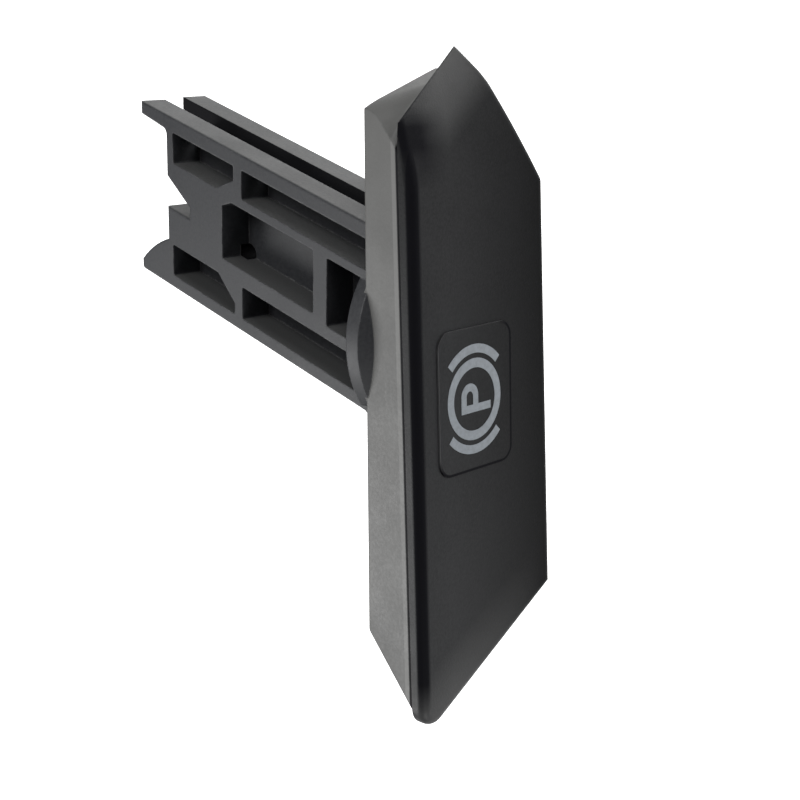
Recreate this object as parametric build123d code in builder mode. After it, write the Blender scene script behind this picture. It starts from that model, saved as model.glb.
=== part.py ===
from build123d import *
from math import cos, radians, sin
import os

# Parking brake release handle, in millimetres.
# +X is the driver's right, +Y goes into the dash and +Z is up, so the grip's front faces -Y.
# The origin is the centre of the round root disc, close to the back plane of the grip's shell.

# Cover outline, seen from the front as (x, z), before its corners are rounded
NEAR_LEFT = (-62.7, 15.45)
NEAR_RIGHT = (33.45, 15.45)
APEX = (44.6, 2.45)
LOW_RIGHT = (23.5, -15.4)
LOW_LEFT = (-44.5, -16.8)
SIDE_BULGE = 0.5
NEAR_LEFT_RADIUS = 3.0
APEX_RADIUS = 1.4
COVER_THICKNESS = 2.5
COVER_EDGE_RADIUS = 1.4

# Right end of the cover, where the front rolls back to a thin rim
BEVEL_DEPTH = 2.1
BEVEL_WIDTH = 6.5
BEVEL_BLEND = 14.0

# Raised pad that carries the sign
PAD_CENTRE = (-9.2, 2.1)
PAD_SIZE = (22.8, 17.0)
PAD_RADIUS = 2.5
PAD_HEIGHT = 0.25

# Shell: a tray behind the cover, set in from the cover's rim, with a slightly tilted back
SHELL_DEPTH = 8.1
SHELL_INSET = 0.3
SHELL_WALL = 2.0
SHELL_EDGE_RADIUS = 0.6
BACK_OFFSET = 0.2
BACK_TILT = 1.75
LEFT_SLOPE_BACK = -48.2
LEFT_SLOPE_FRONT = -58.1
END_X = 36.0
END_LEAN = 18.4
END_DEPTH = 2.8
FACET_FRONT = 29.1
END_BLEND = 6.0

# Locating lip on the cover's back
LIP_CLEARANCE = 0.15
LIP_HEIGHT = 2.5
LIP_THICKNESS = 1.2

# Root disc
DISC_RADIUS = 17.3
DISC_HEIGHT = 2.4
DISC_EDGE_RADIUS = 0.4
CONE_TOP = -0.4
CONE_DEPTH = 2.0
CONE_RUN = 2.3

# Stem: u runs along the rails, v goes across them along the ribs
RAKE = 18.24
RIB_LEAN = 0.06
STEM_NEAR = 14.1
STEM_WIDTH = 15.0
WEB_THICKNESS = 3.2
RAIL_LENGTH = 58.5
FAR_RAIL_LENGTH = 59.3
RAIL_TOP = 18.3
RAIL_THICKNESS = 2.5
STEM_BOTTOM = -11.1
BOTTOM_THICKNESS = 2.2
GROOVE_WIDTH = 4.6
GROOVE_EXTRA = 0.5
COLUMN_END = 51.5
HOOK_UNDERSIDE = 15.7
HOOK_TAPER = 0.5
HOOK_RADIUS = 1.3
NOTCH_ROOT = 45.3
NOTCH_TOP = 7.9
NOTCH_STEP = 4.5
NOTCH_LEDGE = 2.7
GUSSET_TOP = -3.0
GUSSET_BULGE = 0.35
NOSE_END = 59.3
NOSE_HEIGHT = 1.7
NOSE_RADIUS = 0.7
ROOT_DEPTH = 1.0
STEM_EDGE_RADIUS = 0.3

# Ribs and pockets of the stem, as u and v limits
COLUMN_WALL = 1.9
NOSE_WALL = 1.35
MID_RIB = (31.2, 33.25)
ROOT_RIB = (10.2, 13.4)
POCKET_FAR = 36.4
UPPER_RIB = (9.5, 11.0)
LOWER_RIB = (-3.5, -0.65)
ROOT_POCKET_FLOOR = -1.4
BLOCK_TOP = 10.6
WINDOW_CUT = (4.55, 2.75)
TIP_CUT = (4.4, 3.5)
POCKET_CUT = (2.5, 1.3)
POCKET_RADIUS = 0.3
HOLE_RADIUS = 1.8
HOLE_NOTCH = 1.8
# How far a cut runs past the material that it opens
OVERCUT = 1.0


def at(u, v):
    """Plan point of the stem from its length u and height v."""
    return (v + u * sin(radians(RAKE)), u * cos(radians(RAKE)) - RIB_LEAN * v)


def foot(v, y=0.0):
    """Plan point where the line at height v meets the plane y."""
    return at((y + RIB_LEAN * v) / cos(radians(RAKE)), v)


WEB_MID = STEM_NEAR - STEM_WIDTH / 2
POCKET_DEPTH = (STEM_WIDTH - WEB_THICKNESS) / 2
FLANGE = RAIL_TOP - RAIL_THICKNESS
FLOOR_V = STEM_BOTTOM + BOTTOM_THICKNESS
NEAR_SIDE = NEAR_LEFT[1] - SHELL_INSET

# The shell's slanted planes, each facing outwards
seam_left = Vector(LEFT_SLOPE_FRONT, -SHELL_DEPTH, NEAR_SIDE)
left_back = Vector(LEFT_SLOPE_BACK, 0, NEAR_SIDE)
left_edge = Vector(LOW_LEFT[0] - NEAR_LEFT[0], 0, LOW_LEFT[1] - NEAR_LEFT[1])
left_slope = Plane(origin=seam_left, z_dir=(left_back - seam_left).cross(left_edge))
end_normal = (cos(radians(END_LEAN)), 0, sin(radians(END_LEAN)))
blunt_end = Plane(origin=(END_X, 0, NEAR_SIDE), z_dir=end_normal)
seam_right = Vector(FACET_FRONT, -SHELL_DEPTH, NEAR_SIDE)
facet_back = Vector(END_X, -END_DEPTH, NEAR_SIDE)
facet_apex = Vector(APEX[0] - SHELL_INSET, -SHELL_DEPTH, APEX[1])
facet = Plane(origin=seam_right, z_dir=(facet_apex - seam_right).cross(facet_back - seam_right))
back_out = Vector(sin(radians(BACK_TILT)), cos(radians(BACK_TILT)), 0)
tilted_back = Plane(origin=(0, BACK_OFFSET, 0), z_dir=back_out)

# The lower right side runs on past the cover's apex, because the shell's end stands out there
side_slope = (APEX[0] - LOW_RIGHT[0]) / (APEX[1] - LOW_RIGHT[1])
shell_corner = (APEX[0] + (NEAR_RIGHT[1] - APEX[1]) * side_slope, NEAR_RIGHT[1])


def pod(gap, reach):
    """Shape of the shell moved in by gap all round, from the seam back as far as reach."""
    with BuildPart() as block:
        with BuildSketch(Plane.XZ.offset(SHELL_DEPTH)):
            with BuildLine():
                Polyline(NEAR_LEFT, shell_corner, LOW_RIGHT, LOW_LEFT, close=True)
            make_face()
            offset(amount=-SHELL_INSET - gap, kind=Kind.INTERSECTION)
        extrude(amount=-reach)
        for side in (left_slope, blunt_end, facet, tilted_back):
            split(bisect_by=side.offset(-gap), keep=Keep.BOTTOM)
    return block.part


shell_outside = pod(0, 2 * SHELL_DEPTH)
# The facet runs softly into the blunt end
end_crease = Axis(facet_back, facet.z_dir.cross(blunt_end.z_dir))
shell_outside = fillet(shell_outside.edges().filter_by(end_crease), END_BLEND)
shell_back = shell_outside.faces().sort_by(Axis.Y)[-1]
shell_outside = fillet(shell_back.edges(), SHELL_EDGE_RADIUS)
shell_hollow = pod(SHELL_WALL, 2 * SHELL_DEPTH)
lip_gap = SHELL_WALL + LIP_CLEARANCE
lip_outside = pod(lip_gap, LIP_HEIGHT)
lip_inside = pod(lip_gap + LIP_THICKNESS, LIP_HEIGHT)

# Pockets of the stem in plan, the same on the near and far sides
window_end = COLUMN_END - COLUMN_WALL
hook_window = [
    at(window_end, FLANGE),
    at(window_end, BLOCK_TOP),
    at(MID_RIB[1] + WINDOW_CUT[0], BLOCK_TOP),
    at(MID_RIB[1], BLOCK_TOP + WINDOW_CUT[1]),
    at(MID_RIB[1], FLANGE),
]
long_window = [
    foot(FLANGE), foot(UPPER_RIB[1]), at(MID_RIB[0], UPPER_RIB[1]), at(MID_RIB[0], FLANGE)
]
centre_pocket = [
    at(POCKET_FAR, LOWER_RIB[1]),
    at(POCKET_FAR, UPPER_RIB[0] - POCKET_CUT[1]),
    at(POCKET_FAR - POCKET_CUT[0], UPPER_RIB[0]),
    at(ROOT_RIB[1], UPPER_RIB[0]),
    at(ROOT_RIB[1], LOWER_RIB[1]),
]
root_pocket = [
    foot(UPPER_RIB[0]),
    foot(ROOT_POCKET_FLOOR),
    at(ROOT_RIB[0], ROOT_POCKET_FLOOR),
    at(ROOT_RIB[0], UPPER_RIB[0]),
]
low_pocket = [
    foot(LOWER_RIB[0]), foot(FLOOR_V), at(MID_RIB[0], FLOOR_V), at(MID_RIB[0], LOWER_RIB[0])
]
tip_end = COLUMN_END - NOSE_WALL
tip_pocket = [
    at(tip_end, LOWER_RIB[0]),
    at(tip_end, FLOOR_V),
    at(MID_RIB[1], FLOOR_V),
    at(MID_RIB[1], LOWER_RIB[0] - TIP_CUT[1]),
    at(MID_RIB[1] + TIP_CUT[0], LOWER_RIB[0]),
]
pockets = (hook_window, long_window, centre_pocket, root_pocket, low_pocket, tip_pocket)

with BuildPart() as handle_body:
    nose_top = STEM_BOTTOM + NOSE_HEIGHT
    gusset_middle = at(
        (COLUMN_END + NOSE_END) / 2 + GUSSET_BULGE, (GUSSET_TOP + nose_top) / 2 + GUSSET_BULGE
    )
    with BuildSketch(Plane.XY.offset(STEM_NEAR)) as silhouette:
        with BuildLine():
            Polyline(
                foot(RAIL_TOP, -ROOT_DEPTH),
                at(FAR_RAIL_LENGTH, RAIL_TOP),
                at(FAR_RAIL_LENGTH, HOOK_UNDERSIDE + HOOK_TAPER),
                at(COLUMN_END, HOOK_UNDERSIDE),
                at(COLUMN_END, NOTCH_TOP),
                at(NOTCH_ROOT, NOTCH_STEP),
                at(NOTCH_ROOT, NOTCH_LEDGE),
                at(COLUMN_END, NOTCH_LEDGE),
                at(COLUMN_END, GUSSET_TOP),
            )
            ThreePointArc(at(COLUMN_END, GUSSET_TOP), gusset_middle, at(NOSE_END, nose_top))
            Polyline(
                at(NOSE_END, nose_top),
                at(NOSE_END, STEM_BOTTOM),
                foot(STEM_BOTTOM, -ROOT_DEPTH),
                foot(RAIL_TOP, -ROOT_DEPTH),
            )
        make_face()
        corners = silhouette.vertices()
        fillet(corners.sort_by_distance(at(COLUMN_END, HOOK_UNDERSIDE))[0], HOOK_RADIUS)
        corners = silhouette.vertices()
        fillet(corners.sort_by_distance(at(NOSE_END, STEM_BOTTOM))[0], NOSE_RADIUS)
    extrude(amount=-STEM_WIDTH)
    # The near rail is a little shorter than the far one
    with BuildSketch(Plane.XY.offset(STEM_NEAR)):
        with BuildLine():
            Polyline(
                at(RAIL_LENGTH, RAIL_TOP + OVERCUT),
                at(RAIL_LENGTH, HOOK_UNDERSIDE - OVERCUT),
                at(FAR_RAIL_LENGTH + OVERCUT, HOOK_UNDERSIDE - OVERCUT),
                at(FAR_RAIL_LENGTH + OVERCUT, RAIL_TOP + OVERCUT),
                close=True,
            )
        make_face()
    extrude(amount=-STEM_WIDTH / 2, mode=Mode.SUBTRACT)
    outer_faces = handle_body.faces().filter_by(Axis.Z)
    rims = outer_faces.sort_by(Axis.Z)[0].edges() + outer_faces.sort_by(Axis.Z)[-1].edges()
    fillet(rims, STEM_EDGE_RADIUS)
    for pocket in pockets:
        for level in (STEM_NEAR - POCKET_DEPTH, STEM_NEAR - STEM_WIDTH):
            with BuildSketch(Plane.XY.offset(level)) as opening:
                with BuildLine():
                    Polyline(*pocket, close=True)
                make_face()
                fillet(opening.vertices(), POCKET_RADIUS)
            extrude(amount=POCKET_DEPTH, mode=Mode.SUBTRACT)
    # Open channel that splits the top flange into two rails
    with BuildSketch(Plane.XY.offset(WEB_MID)):
        with BuildLine():
            Polyline(
                foot(RAIL_TOP + OVERCUT),
                foot(FLANGE - GROOVE_EXTRA),
                at(FAR_RAIL_LENGTH + OVERCUT, FLANGE - GROOVE_EXTRA),
                at(FAR_RAIL_LENGTH + OVERCUT, RAIL_TOP + OVERCUT),
                close=True,
            )
        make_face()
    extrude(amount=GROOVE_WIDTH / 2, both=True, mode=Mode.SUBTRACT)
    # Round hole through the web, in the corner of the centre pocket
    with BuildSketch(Plane.XY.offset(WEB_MID - STEM_WIDTH / 2)):
        with Locations(centre_pocket[0]):
            Circle(HOLE_RADIUS)
    extrude(amount=STEM_WIDTH / 2 + WEB_THICKNESS / 2 + HOLE_NOTCH, mode=Mode.SUBTRACT)
    add(shell_outside)
    add(shell_hollow, mode=Mode.SUBTRACT)
    with BuildSketch(Plane(origin=(0, 0, 0), x_dir=(back_out.Y, -back_out.X, 0))) as disc:
        with BuildLine():
            Polyline(
                (0, -CONE_DEPTH),
                (DISC_RADIUS - CONE_RUN, -CONE_DEPTH),
                (DISC_RADIUS, CONE_TOP),
                (DISC_RADIUS, DISC_HEIGHT),
                (0, DISC_HEIGHT),
                close=True,
            )
        make_face()
        fillet(disc.vertices().group_by(Axis.Y)[-1].sort_by(Axis.X)[-1], DISC_EDGE_RADIUS)
    revolve(axis=Axis((0, 0, 0), back_out))

# The cover's lower right side is a little convex
side_chord = Vector(APEX[0] - LOW_RIGHT[0], APEX[1] - LOW_RIGHT[1], 0).length
side_radius = side_chord**2 / (8 * SIDE_BULGE) + SIDE_BULGE / 2

with BuildPart() as front_cover:
    with BuildSketch(Plane.XZ.offset(SHELL_DEPTH)):
        with BuildLine():
            Polyline(NEAR_LEFT, NEAR_RIGHT, APEX)
            RadiusArc(APEX, LOW_RIGHT, side_radius)
            Polyline(LOW_RIGHT, LOW_LEFT, NEAR_LEFT)
        make_face()
    extrude(amount=COVER_THICKNESS)
    uprights = front_cover.edges().filter_by(Axis.Y).sort_by(Axis.X)
    fillet(uprights[0], NEAR_LEFT_RADIUS)
    # The bevel runs down from the front face to a thin rim, with a soft crease
    end_edge = Vector(APEX[0] - NEAR_RIGHT[0], 0, APEX[1] - NEAR_RIGHT[1]).normalized()
    end_out = Vector(-end_edge.Z, 0, end_edge.X)
    bevel = Plane(
        origin=(APEX[0], BEVEL_DEPTH - SHELL_DEPTH - COVER_THICKNESS, APEX[1]),
        z_dir=end_out * BEVEL_DEPTH + Vector(0, -BEVEL_WIDTH, 0),
    )
    split(bisect_by=bevel, keep=Keep.BOTTOM)
    towards_end = Axis((0, 0, 0), end_out)
    front = front_cover.faces().sort_by(Axis.Y)[0]
    fillet(front.edges().sort_by(towards_end)[-1], BEVEL_BLEND)
    front = front_cover.faces().sort_by(Axis.Y)[0]
    fillet(front.edges().sort_by(towards_end)[:-1], COVER_EDGE_RADIUS)
    apex = front_cover.edges().filter_by(Axis.Y).sort_by(Axis.X)[-1]
    fillet(apex, APEX_RADIUS)
    with BuildSketch(Plane.XZ.offset(SHELL_DEPTH + COVER_THICKNESS)):
        with Locations(PAD_CENTRE):
            RectangleRounded(*PAD_SIZE, PAD_RADIUS)
    extrude(amount=PAD_HEIGHT)
    add(lip_outside)
    add(lip_inside, mode=Mode.SUBTRACT)

handle_body.part.label = "handle_body"
front_cover.part.label = "front_cover"
os.makedirs("parts", exist_ok=True)
export_step(handle_body.part, "parts/handle_body.step")
export_step(front_cover.part, "parts/front_cover.step")
print("body", handle_body.part.bounding_box(), "volume", handle_body.part.volume)
print("cover", front_cover.part.bounding_box(), "volume", front_cover.part.volume)
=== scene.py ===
from math import cos, radians, sin

import bmesh
import bpy
from mathutils import Matrix, Vector


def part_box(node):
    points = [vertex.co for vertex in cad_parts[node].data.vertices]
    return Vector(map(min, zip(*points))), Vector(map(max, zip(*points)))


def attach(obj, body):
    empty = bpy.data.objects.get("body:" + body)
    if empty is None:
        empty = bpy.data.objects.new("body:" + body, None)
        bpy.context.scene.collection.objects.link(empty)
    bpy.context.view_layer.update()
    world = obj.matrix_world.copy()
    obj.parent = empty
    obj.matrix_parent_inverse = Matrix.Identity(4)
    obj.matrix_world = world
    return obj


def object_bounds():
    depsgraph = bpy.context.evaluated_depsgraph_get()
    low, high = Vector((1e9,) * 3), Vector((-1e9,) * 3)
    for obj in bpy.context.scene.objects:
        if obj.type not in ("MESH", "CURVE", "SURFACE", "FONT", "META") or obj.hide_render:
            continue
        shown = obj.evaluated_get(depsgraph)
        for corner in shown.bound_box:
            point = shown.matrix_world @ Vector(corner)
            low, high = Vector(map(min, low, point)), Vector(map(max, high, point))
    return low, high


# Looks of the parking brake release handle, in metres, in the part's own frame
MM = 0.001

# Camera, as the photograph was taken: up in the picture is the handle's +X
CAMERA_PLACE = Vector((43.71, -160.79, 173.43)) * MM
CAMERA_AIM = Vector((-10.71, 2.46, 5.42)) * MM
CAMERA_UP = Vector((0.9737, 0.1382, -0.1810))
CAMERA_LENS = 67.5
SENSOR_WIDTH = 36
NEAR_CLIP = 10 * MM

# Parking brake sign, printed on the cover's raised pad
PRINT_CENTRE = (-9.2 * MM, 2.5 * MM)
PRINT_THICKNESS = 0.03 * MM
PRINT_SQUEEZE = 0.957
RING_OUTER = 6.5 * MM
RING_INNER = 5.0 * MM
RING_STEPS = 96
BRACKET_OUTER = 8.7 * MM
BRACKET_INNER = 7.3 * MM
BRACKET_HALF_ANGLE = 46
BRACKET_STEPS = 40
LETTER_HEIGHT = 7.15 * MM
LETTER_TOP = 3.2 * MM
LETTER_LEFT = -2.05 * MM
LETTER_BOWL = 4.1 * MM
LETTER_WIDTH = 4.7 * MM
LETTER_STROKE = 1.25 * MM
BOWL_STEPS = 24
MERGE_DISTANCE = 1e-7

# Width in which a mask ends, where nothing else is said
MASK_SOFT = 0.05 * MM

# Body: painted shade in the seam and a painted highlight on the rim beside it, and the tilted back and
# near side of the shell, painted paler as painted sheen
SEAM_BACK = -7.45 * MM
SEAM_SOFT = 0.25 * MM
RIM_HIGHLIGHT_BACK = -6.55 * MM
RIM_HIGHLIGHT_SOFT = 0.2 * MM
SHELL_BACK = 0.2 * MM
SHELL_BACK_SOFT = 0.03 * MM
SHELL_TILT = radians(1.75)
SHELL_SIDE = 15.2 * MM
# Body: painted shade in the hole through the stem's web and in the channel between its two raked rails
WEB_HOLE = (10.743 * MM, 34.61 * MM, 0)
HOLE_RADIUS = 1.85 * MM
HOLE_FRONT = 10.05 * MM
STEM_SLOPE = 0.3296
CHANNEL_FLOOR = 15.3 * MM
CHANNEL_SOFT = 0.1 * MM
CHANNEL_MIDDLE = 6.6 * MM
CHANNEL_HALF = 2.33 * MM
CHANNEL_SIDE_SOFT = 0.03 * MM
# Body: reach and strength of the painted shade in tight corners
SHADE_REACH = 3 * MM
SHADE_OPENNESS = (0.5, 0.15)
# Body: how far a stem face must turn towards +X to take the painted light
LIT_FACING = (0.6, 0.8)

# Raised pad under the sign, with painted shade along the rim of its far side and left end, and a painted
# highlight on its step elsewhere
PAD_CENTRE = (-9.2 * MM, 2.1 * MM)
PAD_HALF = (11.4 * MM, 8.5 * MM)
PAD_RADIUS = 2.5 * MM
PAD_SHADE_WIDTH = 0.32 * MM
PAD_FADE_START = 1 * MM
PAD_FADE = 2 * MM

# Cover: its slanted ends, as places along the ways in from the left and out to the right
LEFT_END_INWARDS = (0.871, 0, 0.4915)
LEFT_END = -47.0 * MM
RIGHT_END_OUTWARDS = (0.759, 0, 0.651)
RIGHT_END = 35.45 * MM
# Cover: reach of the painted highlight on its two ends, and its spread across the grip
END_HIGHLIGHT_REACH = 9 * MM
LEFT_HIGHLIGHT_SPREAD = (-14 * MM, 8 * MM)
RIGHT_HIGHLIGHT_SPREAD = (13 * MM, 7 * MM)
# Cover: painted shade that darkens its colour and gloss, from and to which place and which share, across
# and along the grip
FALLOFF_ACROSS = (-15 * MM, 8 * MM, 0.3, 1)
FALLOFF_ALONG = (-50 * MM, 30 * MM, 1, 0.75)
# Cover: painted shade on its near edge, which ends short of the left tip, and on its right corner
EDGE_INSIDE = 14.05 * MM
EDGE_SOFT = 0.6 * MM
EDGE_BACK = -9.6 * MM
EDGE_BACK_SOFT = 0.3 * MM
EDGE_LEFT = -53 * MM
EDGE_LEFT_FADE = 5 * MM
CORNER_LEFT = 30 * MM
CORNER_LEFT_FADE = 6 * MM
CORNER_RIGHT = 33 * MM
CORNER_RIGHT_FADE = 3 * MM
CORNER_INSIDE = 12 * MM
CORNER_INSIDE_FADE = 5 * MM
COVER_SIDE = 15.33 * MM
COVER_SIDE_SOFT = 0.1 * MM

# Colours of the stem, the shell painted paler as painted sheen, the cover and the print, and of the
# painted highlights and painted shade
STEM_DARK = (0.0165, 0.0175, 0.0202, 1)
STEM_LIGHT = (0.0294, 0.0304, 0.0331, 1)
STEM_WORN = (0.09, 0.09, 0.093, 1)
# Painted light on the stem's faces towards +X
STEM_PAINTED_LIGHT = (0.060, 0.061, 0.061, 1)
SHELL_SHEEN_DARK = (0.074, 0.074, 0.072, 1)
SHELL_SHEEN_LIGHT = (0.091, 0.091, 0.088, 1)
# Painted highlight on the shell's rim
RIM_HIGHLIGHT = (0.115, 0.115, 0.112, 1)
# Painted shade in the seam, corners, channel and hole
BODY_PAINTED_SHADE = (0.008, 0.008, 0.009, 1)
COVER_DARK = (0.0078, 0.0082, 0.0092, 1)
COVER_LIGHT = (0.0162, 0.0166, 0.0178, 1)
COVER_WORN = (0.05, 0.05, 0.052, 1)
# Painted highlight on the cover's two ends
COVER_END_HIGHLIGHT = (0.055, 0.055, 0.055, 1)
# Painted shade on the cover's near edge, its corner and the pad's rim
COVER_PAINTED_SHADE = (0.0055, 0.0055, 0.0068, 1)
# Painted highlight on the pad's step, near and at the right end
STEP_HIGHLIGHT_NEAR = (0.062, 0.062, 0.064, 1)
STEP_HIGHLIGHT_RIGHT = (0.03, 0.03, 0.031, 1)
INK_THICK = (0.192, 0.212, 0.232, 1)
INK_THIN = (0.145, 0.160, 0.175, 1)
FLOOR_GREY = (0.8, 0.8, 0.8, 1)
BLACK = (0, 0, 0, 1)
WHITE = (1, 1, 1, 1)

# Surface of the plastic and the print: blotch sizes, spreads of noise, and shares in colour and gloss
MOTTLE_SIZE = 9 * MM
SPECK_SIZE = 0.5 * MM
TONE_SPREAD = (0.35, 0.65)
MOTTLE_SHARE = 0.45
SPECK_SHARE = 0.55
GLOSS_SPREAD = (0.3, 0.7)
MOTTLE_GLOSS = 0.05
SPECK_GLOSS = 0.04
WEAR_SIZE = 2.5 * MM
WEAR_SPREAD = (0.42, 0.62)
EDGE_FACING = (0.999, 0.93)
SCRATCH_SIZE = 0.35 * MM
SCRATCH_STRETCH = (0.06, 1.0, 1.4)
SCRATCH_SPREAD = (0.68, 0.76)
SCRATCH_GLOSS = 0.06
# Blotches in the shell's painted sheen
SHELL_SHEEN_BLOTCH_SIZE = 14 * MM
GRAIN_SIZE = 0.32 * MM
BUMP_STRENGTH = 0.6
BODY_GRAIN = 0.035 * MM
BODY_ROUGHNESS = 0.50
BODY_EDGE = 0.35 * MM
STEM_SHINE = 0.28
SHELL_SHINE = 0.42
# Gloss kept in the body's painted shade
SHADE_SHINE = 0.1
SHELL_DULL = 0.04
COVER_GRAIN = 0.040 * MM
COVER_ROUGHNESS = 0.42
COVER_EDGE = 0.12 * MM
COVER_SHINE = 0.13
# Gloss kept in the cover's painted shade
PAINTED_SHADE_SHINE = 0.02
INK_SIZE = 0.9 * MM
INK_SPREAD = (0.35, 0.7)
INK_GLOSS = (0.3, 0.7, 0.5, 0.62)
INK_GRAIN_SIZE = 0.16 * MM
INK_GRAIN = 0.008 * MM

FLOOR_SIZE = 6
FLOOR_DROP = 90 * MM
FLOOR_ROUGHNESS = 0.9
FLOOR_WHITE = 0.85
FLOOR_GLOW = 0.6
WORLD_LIGHT = 0.12
WORLD_GLOW = 0.3

# Name, place, aim, width and height, and watts of each lamp
LAMPS = (
    ("back_softbox", (-0.20, 0.30, 0.34), (-0.02, 0, 0), (0.30, 0.26), 2.1),
    ("side_softbox", (0.32, 0.02, 0.42), (0, 0, 0), (0.25, 0.25), 1.75),
    ("front_fill", (-0.22, -0.17, 0.06), (-0.05, 0, 0), (0.14, 0.14), 0.32),
    ("low_fill", (0.11, -0.18, -0.08), (0.035, -0.01, 0), (0.10, 0.10), 0.3),
    ("end_fill", (0.45, -0.25, 0.13), (0.03, 0, 0), (0.2, 0.2), 0.6),
)

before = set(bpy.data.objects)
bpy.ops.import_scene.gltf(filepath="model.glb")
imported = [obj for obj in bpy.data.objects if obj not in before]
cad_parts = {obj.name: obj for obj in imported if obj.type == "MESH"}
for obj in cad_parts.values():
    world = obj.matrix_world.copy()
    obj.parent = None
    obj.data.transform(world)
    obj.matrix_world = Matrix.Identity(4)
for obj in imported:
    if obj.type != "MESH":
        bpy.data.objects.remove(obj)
cad_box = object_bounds()
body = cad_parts["handle_body"]
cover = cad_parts["front_cover"]


def new_material(name):
    """Empty node material with its shader and output joined."""
    material = bpy.data.materials.new(name)
    material.use_nodes = True
    tree = material.node_tree
    tree.nodes.clear()
    shader = tree.nodes.new("ShaderNodeBsdfPrincipled")
    out = tree.nodes.new("ShaderNodeOutputMaterial")
    tree.links.new(shader.outputs["BSDF"], out.inputs["Surface"])
    return material, tree, shader


def add_node(tree, kind, settings=None, **inputs):
    """New node. Its inputs, by name or as _ and their number, are set to values or linked to sockets."""
    made = tree.nodes.new(kind)
    for key, value in (settings or {}).items():
        setattr(made, key, value)
    for key, value in inputs.items():
        socket = made.inputs[int(key[1:]) if key[1:].isdigit() else key]
        if isinstance(value, bpy.types.NodeSocket):
            tree.links.new(value, socket)
        else:
            socket.default_value = value
    return made


def noise(tree, place, size, detail=3.0, roughness=0.5):
    """Noise whose blotches are about size across."""
    made = add_node(
        tree, "ShaderNodeTexNoise",
        Vector=place, Scale=1 / size, Detail=detail, Roughness=roughness,
    )
    return made.outputs["Fac"]


def ramp(tree, value, low, high, start=0.0, end=1.0):
    """Value mapped from low..high to start..end, held at both ends."""
    made = add_node(tree, "ShaderNodeMapRange", _0=value, _1=low, _2=high, _3=start, _4=end)
    return made.outputs["Result"]


def below(tree, value, limit, soft=MASK_SOFT):
    """1 up to the limit, falling to 0 over the width soft."""
    return ramp(tree, value, limit + soft, limit)


def above(tree, value, limit, soft=MASK_SOFT):
    """1 from the limit on, rising from 0 over the width soft before it."""
    return ramp(tree, value, limit - soft, limit)


def maths(tree, operation, a, b=0):
    made = add_node(tree, "ShaderNodeMath", {"operation": operation}, _0=a, _1=b)
    return made.outputs["Value"]


def product(tree, first, *others):
    """Where all the masks meet."""
    for other in others:
        first = maths(tree, "MULTIPLY", first, other)
    return first


def largest(tree, first, *others):
    """Where any of the masks is."""
    for other in others:
        first = maths(tree, "MAXIMUM", first, other)
    return first


def vector_maths(tree, operation, a, b=(0, 0, 0), output="Vector"):
    made = add_node(tree, "ShaderNodeVectorMath", {"operation": operation}, _0=a, _1=b)
    return made.outputs[output]


def along(tree, place, direction):
    """How far a place lies along a direction."""
    return vector_maths(tree, "DOT_PRODUCT", place, direction, "Value")


def parts_of(tree, vector):
    """The X, Y and Z of a vector."""
    return add_node(tree, "ShaderNodeSeparateXYZ", Vector=vector).outputs


def mix_colour(tree, factor, a, b):
    made = add_node(tree, "ShaderNodeMix", {"data_type": "RGBA"}, _0=factor, _6=a, _7=b)
    return made.outputs[2]


def add_bump(tree, shader, height, depth):
    bump = add_node(tree, "ShaderNodeBump", Height=height, Distance=depth, Strength=BUMP_STRENGTH)
    tree.links.new(bump.outputs["Normal"], shader.inputs["Normal"])
    return bump


def edge_mask(tree, radius):
    """1 on sharp edges and 0 on flat faces, and the normal that rounds those edges."""
    rounded = add_node(tree, "ShaderNodeBevel", {"samples": 6}, Radius=radius).outputs["Normal"]
    plain = add_node(tree, "ShaderNodeNewGeometry").outputs["Normal"]
    return ramp(tree, along(tree, rounded, plain), *EDGE_FACING), rounded


def moulded_plastic(name, dark, light, worn, grain_depth, rough, edge):
    """Satin moulded plastic: mottled colour, moulding grain, rubbed edges and faint scratches."""
    material, tree, shader = new_material(name)
    place = add_node(tree, "ShaderNodeTexCoord").outputs["Object"]
    mottle = noise(tree, place, MOTTLE_SIZE, detail=4)
    specks = noise(tree, place, SPECK_SIZE, detail=2)
    tone = maths(
        tree, "ADD",
        ramp(tree, mottle, *TONE_SPREAD, 0, MOTTLE_SHARE),
        ramp(tree, specks, *TONE_SPREAD, 0, SPECK_SHARE),
    )
    colour = mix_colour(tree, tone, dark, light)
    rubbed, rounded = edge_mask(tree, edge)
    patchy = ramp(tree, noise(tree, place, WEAR_SIZE, detail=5, roughness=0.7), *WEAR_SPREAD)
    colour = mix_colour(tree, product(tree, rubbed, patchy), colour, worn)
    stretched = add_node(tree, "ShaderNodeMapping", Vector=place, Scale=SCRATCH_STRETCH)
    scratches = noise(tree, stretched.outputs["Vector"], SCRATCH_SIZE, detail=2)
    uneven = maths(
        tree, "ADD",
        ramp(tree, mottle, *GLOSS_SPREAD, -MOTTLE_GLOSS, MOTTLE_GLOSS),
        ramp(tree, specks, *GLOSS_SPREAD, -SPECK_GLOSS, SPECK_GLOSS),
    )
    scratched = ramp(tree, scratches, *SCRATCH_SPREAD, 0, SCRATCH_GLOSS)
    uneven = maths(tree, "SUBTRACT", uneven, scratched)
    satin = maths(tree, "ADD", uneven, rough)
    tree.links.new(satin, shader.inputs["Roughness"])
    grains = noise(tree, place, GRAIN_SIZE, roughness=0.6)
    bump = add_bump(tree, shader, grains, grain_depth)
    return material, tree, shader, place, colour, satin, rounded, bump


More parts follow.
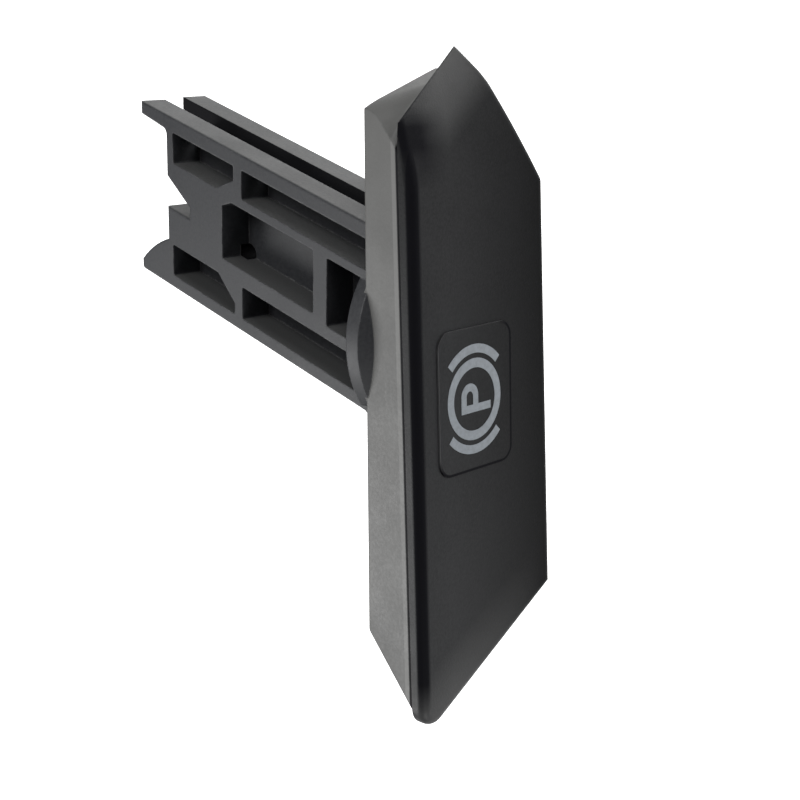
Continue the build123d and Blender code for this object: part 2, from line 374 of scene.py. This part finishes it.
def stem_painted_shade(tree, place, x, y, z):
    """Masks of the painted shade in the channel and in the hole through the web."""
    across = maths(tree, "SUBTRACT", x, maths(tree, "MULTIPLY", y, STEM_SLOPE))
    off_middle = maths(tree, "ABSOLUTE", maths(tree, "SUBTRACT", z, CHANNEL_MIDDLE))
    channel = product(
        tree,
        above(tree, across, CHANNEL_FLOOR, CHANNEL_SOFT),
        below(tree, off_middle, CHANNEL_HALF, CHANNEL_SIDE_SOFT),
    )
    from_hole = vector_maths(tree, "SUBTRACT", place, WEB_HOLE)
    from_axis = vector_maths(tree, "MULTIPLY", from_hole, (1, 1, 0))
    off_hole = vector_maths(tree, "LENGTH", from_axis, output="Value")
    bored = product(tree, below(tree, off_hole, HOLE_RADIUS), below(tree, z, HOLE_FRONT))
    return channel, bored


def body_plastic():
    """Body moulding: the grip's shell is painted greyer than the stem as painted sheen, with a painted
    highlight on its rim and painted shade in the seam, corners, channel and hole.
    """
    material, tree, shader, place, colour, satin, rounded, bump = moulded_plastic(
        "body_plastic", STEM_DARK, STEM_LIGHT, STEM_WORN, BODY_GRAIN, BODY_ROUGHNESS, BODY_EDGE
    )
    tree.links.new(rounded, bump.inputs["Normal"])
    x, y, z = parts_of(tree, place)
    behind = along(tree, place, (sin(SHELL_TILT), cos(SHELL_TILT), 0))
    shell = product(
        tree,
        below(tree, behind, SHELL_BACK, SHELL_BACK_SOFT),
        below(tree, z, SHELL_SIDE),
    )
    stem = maths(tree, "SUBTRACT", 1, shell)
    blotches = ramp(tree, noise(tree, place, SHELL_SHEEN_BLOTCH_SIZE), *TONE_SPREAD)
    shell_sheen = mix_colour(tree, blotches, SHELL_SHEEN_DARK, SHELL_SHEEN_LIGHT)
    # Painted sheen: the shell's colour is paler than the stem's
    colour = mix_colour(tree, shell, colour, shell_sheen)
    # Painted highlight: a bright strip on the shell's rim just behind the seam
    colour = mix_colour(tree, below(tree, y, RIM_HIGHLIGHT_BACK, RIM_HIGHLIGHT_SOFT), colour, RIM_HIGHLIGHT)
    # The stem's faces towards +X are painted paler: painted light falling from +X
    facing = add_node(tree, "ShaderNodeNewGeometry").outputs["True Normal"]
    lit_side = ramp(tree, parts_of(tree, facing)["X"], *LIT_FACING)
    colour = mix_colour(tree, product(tree, stem, lit_side), colour, STEM_PAINTED_LIGHT)
    # Painted shade in the seam, in tight corners, in the channel and in the hole, with less gloss there
    openness = add_node(tree, "ShaderNodeAmbientOcclusion", {"samples": 8}, Distance=SHADE_REACH)
    corners = ramp(tree, openness.outputs["AO"], *SHADE_OPENNESS)
    seam = below(tree, y, SEAM_BACK, SEAM_SOFT)
    channel, bored = stem_painted_shade(tree, place, x, y, z)
    painted_shade = largest(tree, seam, corners, product(tree, channel, stem), bored)
    tree.links.new(mix_colour(tree, painted_shade, colour, BODY_PAINTED_SHADE), shader.inputs["Base Color"])
    shine = product(
        tree,
        ramp(tree, shell, 0, 1, STEM_SHINE, SHELL_SHINE),
        ramp(tree, painted_shade, 0, 1, 1, SHADE_SHINE),
    )
    tree.links.new(shine, shader.inputs["Specular IOR Level"])
    dull = maths(tree, "ADD", satin, ramp(tree, shell, 0, 1, 0, SHELL_DULL))
    tree.links.new(dull, shader.inputs["Roughness"])
    return material


def pad_lines(tree, place, x, z):
    """Masks of the pad's rim: painted shade on its far side and left end, the painted highlight on the
    step, and the right end, where that highlight is dimmer.
    """
    from_centre = vector_maths(tree, "SUBTRACT", place, (PAD_CENTRE[0], 0, PAD_CENTRE[1]))
    straight = (PAD_HALF[0] - PAD_RADIUS, 1, PAD_HALF[1] - PAD_RADIUS)
    corner = vector_maths(tree, "SUBTRACT", vector_maths(tree, "ABSOLUTE", from_centre), straight)
    radius = vector_maths(tree, "LENGTH", vector_maths(tree, "MAXIMUM", corner), output="Value")
    off_line = maths(tree, "ABSOLUTE", maths(tree, "SUBTRACT", radius, PAD_RADIUS - PAD_SHADE_WIDTH / 2))
    off_step = maths(tree, "ABSOLUTE", maths(tree, "SUBTRACT", radius, PAD_RADIUS))
    far = PAD_CENTRE[1] - PAD_HALF[1]
    left = PAD_CENTRE[0] - PAD_HALF[0]
    right = PAD_CENTRE[0] + PAD_HALF[0]
    shaded_sides = largest(
        tree,
        below(tree, z, far + PAD_FADE_START, PAD_FADE),
        below(tree, x, left + PAD_FADE_START, PAD_FADE),
    )
    lit_sides = maths(tree, "SUBTRACT", 1, shaded_sides)
    pad_shade_line = product(tree, shaded_sides, below(tree, off_line, PAD_SHADE_WIDTH / 2, PAD_SHADE_WIDTH / 2))
    step_highlight = product(tree, lit_sides, below(tree, off_step, MASK_SOFT))
    return pad_shade_line, step_highlight, above(tree, x, right - PAD_FADE_START, PAD_FADE)


def cover_plastic():
    """Cover moulding: near black, with a painted highlight on its two ends."""
    material, tree, shader, place, colour, *_ = moulded_plastic(
        "cover_plastic", COVER_DARK, COVER_LIGHT, COVER_WORN, COVER_GRAIN, COVER_ROUGHNESS, COVER_EDGE
    )
    x, y, z = parts_of(tree, place)
    # Painted shade: the front is darker in colour and gloss along its far side and at its right end
    depth = product(
        tree,
        ramp(tree, z, *FALLOFF_ACROSS),
        ramp(tree, x, *FALLOFF_ALONG),
    )
    colour = mix_colour(tree, depth, BLACK, colour)
    # Painted highlight on the rolled left end and on the right end
    left = product(
        tree,
        below(tree, along(tree, place, LEFT_END_INWARDS), LEFT_END, END_HIGHLIGHT_REACH),
        ramp(tree, z, *LEFT_HIGHLIGHT_SPREAD),
    )
    right = product(
        tree,
        above(tree, along(tree, place, RIGHT_END_OUTWARDS), RIGHT_END, END_HIGHLIGHT_REACH),
        ramp(tree, z, *RIGHT_HIGHLIGHT_SPREAD),
    )
    colour = mix_colour(tree, largest(tree, left, right), colour, COVER_END_HIGHLIGHT)
    # Painted shade: the near edge is painted dark, and so is the corner where the right end begins
    edge = product(
        tree,
        below(tree, y, EDGE_BACK, EDGE_BACK_SOFT),
        above(tree, z, EDGE_INSIDE, EDGE_SOFT),
        above(tree, x, EDGE_LEFT, EDGE_LEFT_FADE),
    )
    corner = product(
        tree,
        above(tree, x, CORNER_LEFT, CORNER_LEFT_FADE),
        below(tree, x, CORNER_RIGHT, CORNER_RIGHT_FADE),
        above(tree, z, CORNER_INSIDE, CORNER_INSIDE_FADE),
        below(tree, z, COVER_SIDE, COVER_SIDE_SOFT),
    )
    pad_shade_line, step_highlight, right_end = pad_lines(tree, place, x, z)
    # All the cover's painted shade: near edge, corner and the pad's rim
    dark = largest(tree, edge, corner, pad_shade_line)
    # Painted highlight on the pad's step, dimmer at its right end
    colour = mix_colour(tree, step_highlight, colour, mix_colour(tree, right_end, STEP_HIGHLIGHT_NEAR, STEP_HIGHLIGHT_RIGHT))
    tree.links.new(mix_colour(tree, dark, colour, COVER_PAINTED_SHADE), shader.inputs["Base Color"])
    shine = product(tree, depth, ramp(tree, dark, 0, 1, COVER_SHINE, PAINTED_SHADE_SHINE))
    tree.links.new(shine, shader.inputs["Specular IOR Level"])
    return material


def sign_ink():
    """Pale grey print, a little thin and uneven."""
    material, tree, shader = new_material("sign_ink")
    place = add_node(tree, "ShaderNodeTexCoord").outputs["Object"]
    thin = ramp(tree, noise(tree, place, INK_SIZE, detail=5, roughness=0.65), *INK_SPREAD)
    tree.links.new(mix_colour(tree, thin, INK_THICK, INK_THIN), shader.inputs["Base Color"])
    grains = noise(tree, place, INK_GRAIN_SIZE, roughness=0.6)
    tree.links.new(ramp(tree, grains, *INK_GLOSS), shader.inputs["Roughness"])
    add_bump(tree, shader, grains, INK_GRAIN)
    return material


def arc_points(radius, start, end, steps, centre=(0, 0)):
    """Points round a circle in the sign's own plane, angles in degrees from +X towards +Z."""
    angles = [radians(start + (end - start) * i / steps) for i in range(steps + 1)]
    return [(centre[0] + radius * cos(a), centre[1] + radius * sin(a)) for a in angles]


def flat_band(mesh, outer, inner):
    """Solid strip between two rows of points, as thick as the print, in front of the pad."""
    back_out, front_out, back_in, front_in = [
        [mesh.verts.new((x, y, z)) for x, z in row]
        for row in (outer, inner)
        for y in (0, -PRINT_THICKNESS)
    ]
    sides = (front_out, front_in), (back_in, back_out), (back_out, front_out), (front_in, back_in)
    for i in range(len(outer) - 1):
        for a, b in sides:
            mesh.faces.new((a[i], b[i], b[i + 1], a[i + 1]))
    for i in (0, -1):
        mesh.faces.new((back_out[i], back_in[i], front_in[i], front_out[i]))


def add_letter(mesh):
    """The letter P: its stem, and its bowl as a band round to the stem again."""
    start = LETTER_LEFT + LETTER_STROKE
    foot = LETTER_TOP - LETTER_HEIGHT
    flat_band(
        mesh, [(LETTER_LEFT, LETTER_TOP), (LETTER_LEFT, foot)],
        [(start, LETTER_TOP), (start, foot)],
    )
    bowl = LETTER_BOWL / 2
    hole = bowl - LETTER_STROKE
    centre = (LETTER_LEFT + LETTER_WIDTH - bowl, LETTER_TOP - bowl)
    outer, inner = [
        [
            (start, centre[1] + radius),
            *arc_points(radius, 90, -90, BOWL_STEPS, centre),
            (start, centre[1] - radius),
        ]
        for radius in (bowl, hole)
    ]
    flat_band(mesh, outer, inner)


def sign_mesh():
    """Ring, two brackets and the letter P, all as thin bands."""
    mesh = bmesh.new()
    flat_band(mesh, *[arc_points(radius, 0, 360, RING_STEPS) for radius in (RING_OUTER, RING_INNER)])
    for middle in (0, 180):
        span = (middle - BRACKET_HALF_ANGLE, middle + BRACKET_HALF_ANGLE, BRACKET_STEPS)
        flat_band(mesh, *[arc_points(radius, *span) for radius in (BRACKET_OUTER, BRACKET_INNER)])
    add_letter(mesh)
    for vertex in mesh.verts:
        vertex.co.z *= PRINT_SQUEEZE
    bmesh.ops.remove_doubles(mesh, verts=mesh.verts, dist=MERGE_DISTANCE)
    bmesh.ops.recalc_face_normals(mesh, faces=mesh.faces)
    return mesh


def add_to_scene(name, data):
    made = bpy.data.objects.new(name, data)
    bpy.context.scene.collection.objects.link(made)
    return made


def make_sign():
    data = bpy.data.meshes.new("brake_sign")
    mesh = sign_mesh()
    mesh.to_mesh(data)
    mesh.free()
    sign = add_to_scene("brake_sign", data)
    pad_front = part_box("front_cover")[0].y
    sign.location = (PRINT_CENTRE[0], pad_front, PRINT_CENTRE[1])
    data.materials.append(sign_ink())
    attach(sign, "root")


def dress(node, material):
    node.data.materials.clear()
    node.data.materials.append(material)


def mirrored_rays(tree, rays):
    """1 for what gloss and glass see."""
    return largest(tree, rays["Is Glossy Ray"], rays["Is Transmission Ray"])


def make_floor():
    """Pale floor that is white to the camera and in reflections, and keeps the handle's shadow."""
    bpy.ops.mesh.primitive_plane_add(size=FLOOR_SIZE, location=(0, 0, cad_box[0].z - FLOOR_DROP))
    floor = bpy.context.object
    floor.name = "floor"
    material, tree, shader = new_material("floor_paper")
    shader.inputs["Base Color"].default_value = FLOOR_GREY
    shader.inputs["Roughness"].default_value = FLOOR_ROUGHNESS
    shader.inputs["Emission Color"].default_value = WHITE
    rays = add_node(tree, "ShaderNodeLightPath").outputs
    mirrored = product(tree, mirrored_rays(tree, rays), FLOOR_GLOW)
    seen = product(tree, rays["Is Camera Ray"], FLOOR_WHITE)
    tree.links.new(maths(tree, "ADD", seen, mirrored), shader.inputs["Emission Strength"])
    # From below, the floor doesn't hide the handle
    underside = add_node(tree, "ShaderNodeNewGeometry").outputs["Backfacing"]
    clear = add_node(tree, "ShaderNodeBsdfTransparent").outputs["BSDF"]
    either = add_node(tree, "ShaderNodeMixShader", _0=underside, _1=shader.outputs["BSDF"], _2=clear)
    tree.links.new(either.outputs["Shader"], tree.nodes["Material Output"].inputs["Surface"])
    floor.data.materials.append(material)


def set_world():
    """Even pale surroundings, white to the camera and pale in reflections."""
    world = bpy.data.worlds.new("studio")
    bpy.context.scene.world = world
    world.use_nodes = True
    tree = world.node_tree
    background = tree.nodes["Background"]
    rays = add_node(tree, "ShaderNodeLightPath").outputs
    lit = ramp(tree, mirrored_rays(tree, rays), 0, 1, WORLD_LIGHT, WORLD_GLOW)
    tree.links.new(largest(tree, lit, rays["Is Camera Ray"]), background.inputs["Strength"])
    background.inputs["Color"].default_value = WHITE


def area_lamp(name, place, aim, size, watts):
    data = bpy.data.lights.new(name, "AREA")
    data.shape = "RECTANGLE"
    data.size, data.size_y = size
    data.energy = watts
    lamp = add_to_scene(name, data)
    lamp.location = place
    lamp.rotation_euler = (Vector(aim) - Vector(place)).to_track_quat("-Z", "Y").to_euler()


def make_camera():
    data = bpy.data.cameras.new("camera")
    data.lens = CAMERA_LENS
    data.sensor_width = SENSOR_WIDTH
    data.clip_start = NEAR_CLIP
    camera = add_to_scene("camera", data)
    back = (CAMERA_PLACE - CAMERA_AIM).normalized()
    right = CAMERA_UP.cross(back).normalized()
    turn = Matrix((right, back.cross(right), back)).transposed().to_4x4()
    camera.matrix_world = Matrix.Translation(CAMERA_PLACE) @ turn
    bpy.context.scene.camera = camera


dress(body, body_plastic())
dress(cover, cover_plastic())
make_sign()
make_floor()
set_world()
for lamp_row in LAMPS:
    area_lamp(*lamp_row)
make_camera()

bpy.context.scene.view_settings.view_transform = "Standard"
